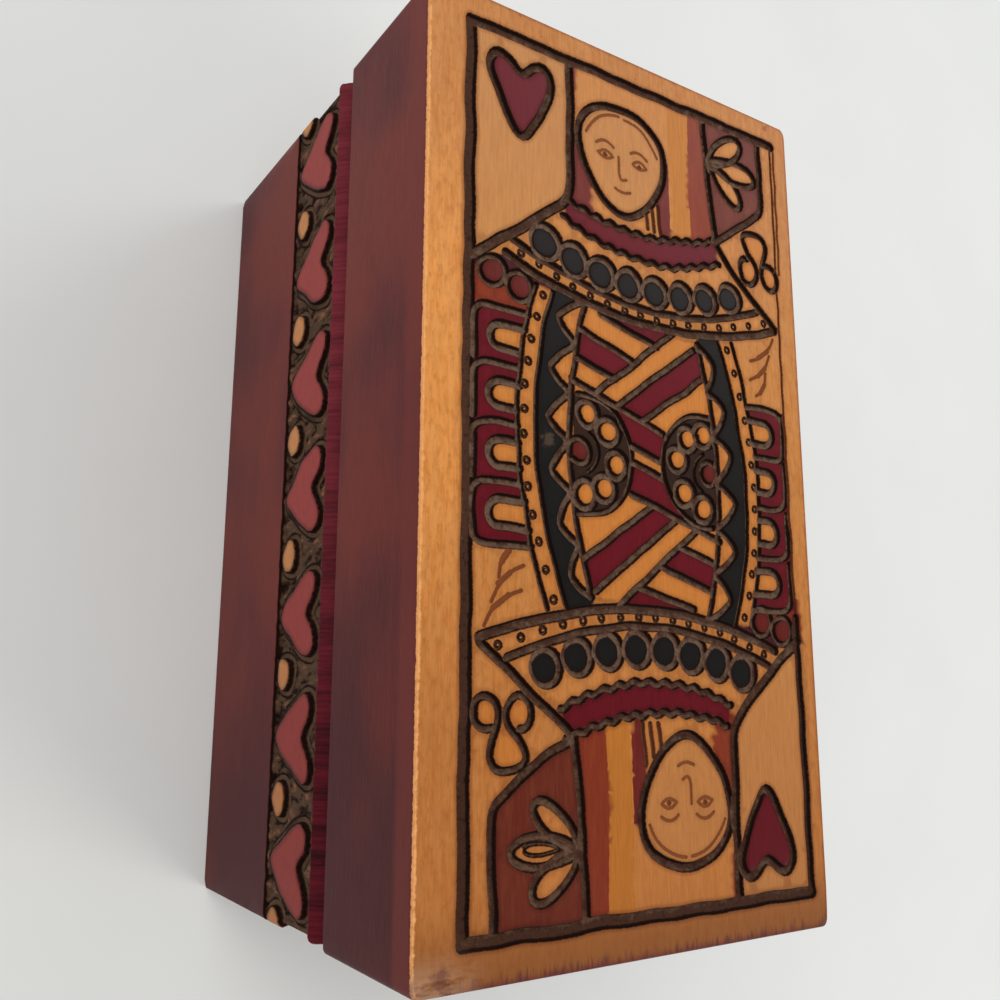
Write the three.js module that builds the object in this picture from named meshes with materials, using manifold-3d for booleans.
// A playing card box of carved, burnt and dyed linden wood, in two pieces: a hollow body
// and a thick hollow lid that lifts off. Millimetres, +Z up. The origin is on the underside,
// below the middle of the box, and +Y runs the long way, towards the top of the card.

import * as THREE from "three";
import { mergeVertices } from "three/addons/utils/BufferGeometryUtils.js";
import Module from "manifold-3d";

const wasm = await Module();
wasm.setup();

// Outer sizes
const lidWidth = 82.5;
const lidLength = 152.4;
const lidHeight = 28.9;
const bodyHeight = 60;
const endSetback = 0.4;
const cornerRadius = 1.2;

// Walls, floor and the lip that the lid drops over
const bevelSize = 5.3;
const seatWidth = 1.7;
const lipThickness = 2;
const lipHeight = 3.5;
const lipClearance = 0.4;
const endWall = 9;
const bodyFloor = 8;
const lidRoof = 8.9;

// Carved band round the body
const bandHeight = 19.9;
const bandDepth = 1.2;
const heartWidth = 16.5;
const heartHeight = 16.5;
const heartBelowBevel = 2.8;
const heartPitch = 21.8;
const discDiameter = 6;
const discAboveBandFoot = 3.7;

// Grooves on the lid
const grooveDepth = 0.9;
const borderGroove = 2;
const mainGroove = 1.8;
const figureGroove = 1.3;
const fineGroove = 0.9;

// Sizes that follow from them
const sideWall = bevelSize + seatWidth + lipThickness;
const bodyWidth = lidWidth;
const bodyLength = lidLength - 2 * endSetback;
const wellWidth = bodyWidth - 2 * sideWall;
const wellLength = bodyLength - 2 * endWall;
const recessWidth = wellWidth + 2 * (lipThickness + lipClearance);
const recessLength = wellLength + 2 * (lipThickness + lipClearance);
const recessDepth = lidHeight - lidRoof;
const bandTop = bodyHeight - bevelSize;
const bandFoot = bandTop - bandHeight;
const boxHeight = bodyHeight + lidHeight;

// How far a cutter reaches past the face that it cuts, and how close points are welded
const overcut = 1;
const weldDistance = 1e-4;

// From a three.js geometry to a solid and back
function toSolid(geometry) {
  const bare = geometry.clone();
  bare.deleteAttribute("normal");
  bare.deleteAttribute("uv");
  const welded = mergeVertices(bare, weldDistance);
  return new wasm.Manifold(new wasm.Mesh({
    numProp: 3,
    vertProperties: Float32Array.from(welded.attributes.position.array),
    triVerts: Uint32Array.from(welded.index.array),
  }));
}

function toGeometry(solid) {
  const mesh = solid.getMesh();
  const geometry = new THREE.BufferGeometry();
  geometry.setAttribute("position", new THREE.BufferAttribute(mesh.vertProperties, 3));
  geometry.setIndex(new THREE.BufferAttribute(mesh.triVerts, 1));
  geometry.computeVertexNormals();
  return geometry;
}

function join(solids) {
  return solids.reduce((whole, solid) => whole.add(solid));
}

// Simple solids that stand at a given height
function block(width, length, height, foot) {
  const geometry = new THREE.BoxGeometry(width, length, height);
  geometry.translate(0, 0, foot + height / 2);
  return toSolid(geometry);
}

function prism(shape, height, foot, curveSegments = 3) {
  const geometry = new THREE.ExtrudeGeometry(shape, { depth: height, bevelEnabled: false, curveSegments });
  geometry.translate(0, 0, foot);
  return toSolid(geometry);
}

function roundedRectangle(width, length, radius) {
  const x = width / 2 - radius;
  const y = length / 2 - radius;
  const shape = new THREE.Shape();
  shape.absarc(x, y, radius, 0, Math.PI / 2);
  shape.absarc(-x, y, radius, Math.PI / 2, Math.PI);
  shape.absarc(-x, -y, radius, Math.PI, 1.5 * Math.PI);
  shape.absarc(x, -y, radius, 1.5 * Math.PI, 2 * Math.PI);
  return shape;
}

// Outlines as lists of points, counterclockwise where they close
const point = (x, y) => new THREE.Vector2(x, y);

function arcPoints(x, y, radius, fromDegrees, toDegrees, steps) {
  return Array.from({ length: steps + 1 }, (_, i) => {
    const angle = THREE.MathUtils.degToRad(fromDegrees + ((toDegrees - fromDegrees) * i) / steps);
    return point(x + radius * Math.cos(angle), y + radius * Math.sin(angle));
  });
}

function ringPoints(x, y, radius, steps = 7) {
  return arcPoints(x, y, radius, 0, 360, steps).slice(0, -1);
}

// A heart of two round lobes that touch in the notch, with straight flanks down to the tip
function heartPoints(x, top, width, height, lobeSteps = 6) {
  const radius = width / 4;
  const rise = height - radius;
  const reach = Math.hypot(radius, rise);
  const flank = Math.atan2(rise, radius) - Math.asin(radius / reach);
  const outer = THREE.MathUtils.radToDeg(flank) - 90;
  const lobe = arcPoints(radius, -radius, radius, outer, 180, lobeSteps);
  const otherLobe = lobe.slice(0, -1).reverse().map((p) => point(-p.x, p.y));
  return [point(0, -height), ...lobe, ...otherLobe].map((p) => point(x + p.x, top + p.y));
}

// A petal that grows from its root along a direction, widest near its end
function petalPoints(x, y, length, width, degrees, steps = 8) {
  const turn = THREE.MathUtils.degToRad(degrees);
  const fullness = 1.3;
  return Array.from({ length: steps }, (_, i) => {
    const angle = (2 * Math.PI * i) / steps;
    const share = (1 - Math.cos(angle)) / 2;
    const side = -(width / 2) * Math.sin(angle) * Math.sqrt(share) * fullness;
    return point(length * share, side).rotateAround(point(0, 0), turn).add(point(x, y));
  });
}

// A plain egg, broad above and narrow below, for a head
function eggPoints(x, y, width, height, steps = 12) {
  const taper = 0.24;
  return Array.from({ length: steps }, (_, i) => {
    const angle = (2 * Math.PI * i) / steps;
    const half = (width / 2) * (1 + taper * Math.cos(angle));
    return point(x - half * Math.sin(angle), y + (height / 2) * Math.cos(angle));
  });
}

// A curve through a start, a middle and an end, and points along it
function bow(start, middle, end) {
  const control = middle.clone().multiplyScalar(2).sub(start.clone().add(end).multiplyScalar(0.5));
  return new THREE.QuadraticBezierCurve(start, control, end);
}

function scallopPoints(curve, waves, height) {
  return curve.getSpacedPoints(2 * waves).map((p, i) => point(p.x, p.y + (i % 2 ? height : 0)));
}

// A groove's outline: the line is moved to either side by half the groove's width
function offsetLine(points, distance, closed) {
  const count = points.length;
  return points.map((p, i) => {
    const before = closed || i > 0 ? points[(i + count - 1) % count] : null;
    const after = closed || i < count - 1 ? points[(i + 1) % count] : null;
    const first = (before ? p.clone().sub(before) : after.clone().sub(p)).normalize();
    const second = (after ? after.clone().sub(p) : p.clone().sub(before)).normalize();
    const along = first.clone().add(second).normalize();
    const widening = 1 / Math.max(along.dot(second), 0.5);
    return point(p.x - along.y * distance * widening, p.y + along.x * distance * widening);
  });
}

function grooveShape(points, width, closed) {
  const left = offsetLine(points, width / 2, closed);
  const right = offsetLine(points, -width / 2, closed);
  if (!closed) {
    return new THREE.Shape([...right, ...left.reverse()]);
  }
  const area = (outline) => Math.abs(THREE.ShapeUtils.area(outline));
  const [outside, inside] = area(left) > area(right) ? [left, right] : [right, left];
  const shape = new THREE.Shape(outside);
  shape.holes.push(new THREE.Path(inside));
  return shape;
}

// Places on the lid. The card is drawn for a lid of this size and stretched to the real one.
// The border, the sleeves and the corner marks turn about one centre, the figure about another.
const drawnWidth = 82.5;
const drawnLength = 152.4;
const cardCentre = point(1.75, 0.4);
const figureCentre = point(2.2, 1.5);

function onLid(p, centre, turned) {
  const sign = turned ? -1 : 1;
  return point(
    ((centre.x + sign * p.x) * lidWidth) / drawnWidth,
    ((centre.y + sign * p.y) * lidLength) / drawnLength,
  );
}

const lidTop = boxHeight;

function groove(points, width, { closed = false, centre = figureCentre, turned = false } = {}) {
  const placed = points.map((p) => onLid(p, centre, turned));
  return prism(grooveShape(placed, width, closed), grooveDepth + overcut, lidTop - grooveDepth);
}

function pit(points, { centre = figureCentre, turned = false } = {}) {
  const placed = points.map((p) => onLid(p, centre, turned));
  return prism(new THREE.Shape(placed), grooveDepth + overcut, lidTop - grooveDepth);
}

// The border line round the card
const borderHalfWidth = 35.25;
const borderHalfLength = 70.6;

function border() {
  const corners = [[1, -1], [1, 1], [-1, 1], [-1, -1]];
  const points = corners.map(([x, y]) => point(x * borderHalfWidth, y * borderHalfLength));
  return [groove(points, borderGroove, { closed: true, centre: cardCentre })];
}

// Each half of the card is drawn by hand, so the turned one lies a little differently
const halves = [
  { turned: false, shift: 0 },
  { turned: true, shift: -1.7 },
];

// The corner panel with its heart, and the flower panel in the other corner
function cornerPanels({ turned, shift }) {
  const panelLine = [
    point(-15.8 + shift, 69.5), point(-15.8 + shift, 46), point(-18, 41.4), point(-34.6, 29),
  ];
  const flowerLine = [point(15.9 + shift, 69), point(17.3 + shift, 53.5), point(18 + shift, 44.5)];
  const outerLine = [point(30.6, 69), point(30.9, 54.8), point(28, 51.6), point(18 + shift, 44.5)];
  const collarEdge = [point(18 + shift, 44.5), point(33.2, 31)];
  const heart = heartPoints(-25.4, 67.2, 13.2, 14.4);
  return [
    groove(panelLine, mainGroove, { turned }),
    groove(flowerLine, figureGroove, { turned }),
    groove(outerLine, figureGroove, { turned }),
    groove(collarEdge, mainGroove, { turned }),
    groove(heart, figureGroove, { closed: true, centre: cardCentre, turned }),
  ];
}

function flower({ turned, shift }) {
  const root = point(17 + shift, 61);
  const petals = [38, -4, -46].map((degrees) => petalPoints(root.x, root.y, 11.5, 4.6, degrees));
  return petals.map((petal) => groove(petal, fineGroove, { closed: true, turned }));
}

function trefoil({ turned }) {
  const rings = [[29, 46.6, 2.9], [26.2, 40.6, 2.2], [31.2, 40.6, 2.2]];
  return rings.map(([x, y, radius]) => groove(ringPoints(x, y, radius), fineGroove, { closed: true, turned }));
}

// The head in its hood, the neck and the ruffle under it
function head({ turned, shift }) {
  const face = eggPoints(-4 + shift, 54, 17.4, 19.6);
  const neck = [1.2, 2.8, 4.4].map((x) => [point(x + shift, 47.4), point(x + shift, 42.2)]);
  return [
    groove(face, figureGroove, { closed: true, turned }),
    ...neck.map((line) => groove(line, fineGroove, { turned })),
  ];
}

function ruffle({ turned }) {
  const top = bow(point(-16.2, 43.6), point(0.2, 41.4), point(17.6, 45));
  const foot = bow(point(-17.6, 40), point(0.4, 36.2), point(19, 40.6));
  return [top, foot].map((curve) => groove(scallopPoints(curve, 9, 0.9), figureGroove, { turned }));
}

// The collar: a row of sunken beads over two long bows
function collar({ turned }) {
  const beadLine = bow(point(-20.8, 34.4), point(0, 31), point(21.4, 34.2));
  const beads = beadLine.getSpacedPoints(7).map((p) => pit(ringPoints(p.x, p.y, 2.9), { turned }));
  const hems = [
    bow(point(-27.4, 33.2), point(0.5, 27.4), point(28, 33)),
    bow(point(-29, 30.4), point(1.5, 24.5), point(33, 30.3)),
  ];
  return [...beads, ...hems.map((curve) => groove(curve.getSpacedPoints(5), figureGroove, { turned }))];
}

// The sleeve: shoulder rings, then four squared tabs with a loop in each
function sleeve({ turned }) {
  const shoulder = [[-31.2, 27.1], [-26, 25.5]];
  const rings = shoulder.map(([x, y]) => (
    groove(ringPoints(x, y, 2.2), fineGroove, { closed: true, turned })
  ));
  const tabs = [0, 1, 2, 3].flatMap((row) => {
    const top = 22.2 - 9.35 * row;
    const middle = top - 4.7;
    const outline = [point(-24.5, top), point(-33, top), point(-34.1, top - 1), point(-34.1, top - 8.6)];
    const loop = [point(-25.2, middle + 2.2), ...arcPoints(-28.9, middle, 2.2, 90, 270, 4)];
    return [outline, [...loop, point(-25.2, middle - 2.2)]];
  });
  const foot = [point(-34.1, -13.9), point(-33, -15), point(-24.2, -15)];
  return [
    ...rings,
    ...[...tabs, foot].map((line) => groove(line, fineGroove, { centre: cardCentre, turned })),
  ];
}

// The gown's side: a ribbon between two bows, a row of points and the bodice's edge
function gownSide({ turned }) {
  const ribbon = [
    bow(point(-22.8, 26.3), point(-26.4, 1.5), point(-21.2, -25.4)),
    bow(point(-19.5, 26.2), point(-23.1, 1), point(-17.4, -25.2)),
  ];
  const tips = bow(point(-18.6, 22.1), point(-20.7, 0.5), point(-16.5, -20.2)).getSpacedPoints(5);
  const edge = bow(point(-12.9, 25.6), point(-16.5, 1.5), point(-12.4, -23.2));
  const valleys = edge.getSpacedPoints(6);
  const row = valleys.flatMap((p, i) => (i < tips.length ? [p, tips[i]] : [p]));
  return [
    ...ribbon.map((curve) => groove(curve.getSpacedPoints(5), figureGroove, { turned })),
    groove(row, fineGroove, { turned }),
    groove(edge.getSpacedPoints(5), fineGroove, { turned }),
  ];
}

// The bodice: slanting stripes and a half round medallion with rings and a curl
function bodice({ turned }) {
  const stripes = [
    [point(-10.8, 10.4), point(6.4, 24)],
    [point(-6.1, 9), point(11.4, 22)],
    [point(-0.8, 7.1), point(13.2, 16.8)],
    [point(-9.4, 24.3), point(2.4, 21.2)],
    [point(-13.6, 20.8), point(-2.6, 17.3)],
    [point(-14.8, 16), point(-6.9, 13.7)],
    [point(-15.9, 11.9), point(3.4, 5.7)],
    [point(-3.1, 2.4), point(3.1, 0.4)],
  ];
  return stripes.map((line) => groove(line, figureGroove, { turned }));
}

function medallion({ turned }) {
  const centre = point(-13.4, -0.1);
  const rim = arcPoints(centre.x, centre.y, 10, 96, -96, 8);
  const curl = arcPoints(-13.9, 0.1, 2.3, 170, -130, 6);
  const rings = [84, 41, -12, -53, -88].map((degrees) => {
    const place = arcPoints(centre.x, centre.y, 6.7, degrees, degrees, 1)[0];
    return groove(ringPoints(place.x, place.y, 2), fineGroove, { closed: true, turned });
  });
  return [groove(rim, figureGroove, { turned }), groove(curl, fineGroove, { turned }), ...rings];
}

// The lid: a thick block, hollow below, with the card carved in its top
function lidSolid() {
  const outside = prism(roundedRectangle(lidWidth, lidLength, cornerRadius), lidHeight, bodyHeight);
  const recess = block(recessWidth, recessLength, recessDepth + overcut, bodyHeight - overcut);
  const motifs = [cornerPanels, flower, trefoil, head, ruffle, collar, sleeve, gownSide, bodice, medallion];
  const grooves = [...border(), ...halves.flatMap((half) => motifs.flatMap((motif) => motif(half)))];
  return outside.subtract(recess).subtract(join(grooves));
}

// The carved band. Each side is drawn flat, then stood up and turned to face its own way.
const sides = [
  { quarterTurns: 0, reach: bodyLength / 2, run: bodyWidth },
  { quarterTurns: 1, reach: bodyWidth / 2, run: bodyLength },
  { quarterTurns: 2, reach: bodyLength / 2, run: bodyWidth },
  { quarterTurns: 3, reach: bodyWidth / 2, run: bodyLength },
];
const skin = 0.1;

function raised(points, { quarterTurns, reach }) {
  const depth = bandDepth + 2 * skin + overcut;
  const geometry = new THREE.ExtrudeGeometry(new THREE.Shape(points), { depth, bevelEnabled: false });
  geometry.rotateX(Math.PI / 2);
  geometry.translate(0, -(reach - bandDepth - skin), 0);
  geometry.rotateZ((quarterTurns * Math.PI) / 2);
  return toSolid(geometry);
}

function heartsAndDiscs(side) {
  const count = Math.max(1, Math.round(side.run / heartPitch));
  const pitch = side.run / count;
  const heartTop = bandTop - heartBelowBevel;
  const discHeight = bandFoot + discAboveBandFoot;
  const hearts = Array.from({ length: count }, (_, i) => (
    heartPoints((i + 0.5) * pitch - side.run / 2, heartTop, heartWidth, heartHeight)
  ));
  const discs = Array.from({ length: count + 1 }, (_, i) => (
    ringPoints(i * pitch - side.run / 2, discHeight, discDiameter / 2, 10)
  ));
  return [...hearts, ...discs].map((outline) => raised(outline, side));
}

function bandCut() {
  const outer = block(bodyWidth + 2 * overcut, bodyLength + 2 * overcut, bandHeight, bandFoot);
  const innerHeight = bandHeight + 2 * overcut;
  const inner = block(bodyWidth - 2 * bandDepth, bodyLength - 2 * bandDepth, innerHeight, bandFoot - overcut);
  return outer.subtract(inner).subtract(join(sides.flatMap(heartsAndDiscs)));
}

// The body: bevelled along its long sides, hollow from above, with the lip round the well
function bodySolid() {
  const half = bodyWidth / 2;
  const profile = new THREE.Shape([
    point(-half, 0), point(half, 0), point(half, bandTop),
    point(half - bevelSize, bodyHeight), point(bevelSize - half, bodyHeight), point(-half, bandTop),
  ]);
  const geometry = new THREE.ExtrudeGeometry(profile, { depth: bodyLength, bevelEnabled: false });
  geometry.rotateX(Math.PI / 2);
  geometry.translate(0, bodyLength / 2, 0);
  const corners = prism(roundedRectangle(bodyWidth, bodyLength, cornerRadius), bodyHeight, 0);
  const lip = block(wellWidth + 2 * lipThickness, wellLength + 2 * lipThickness, lipHeight + overcut,
    bodyHeight - overcut);
  const well = block(wellWidth, wellLength, bodyHeight + lipHeight, bodyFloor);
  return toSolid(geometry).intersect(corners).subtract(bandCut()).add(lip).subtract(well);
}

// Finishes
const dyedWood = new THREE.MeshStandardMaterial({ color: 0x6b3430, roughness: 0.55, metalness: 0 });
const honeyWood = new THREE.MeshStandardMaterial({ color: 0xc08446, roughness: 0.5, metalness: 0 });

function piece(name, solid, material) {
  const mesh = new THREE.Mesh(toGeometry(solid), material);
  mesh.name = name;
  return mesh;
}

const box = new THREE.Group();
box.add(piece("box_body", bodySolid(), dyedWood));
box.add(piece("lid", lidSolid(), honeyWood));

export default box;
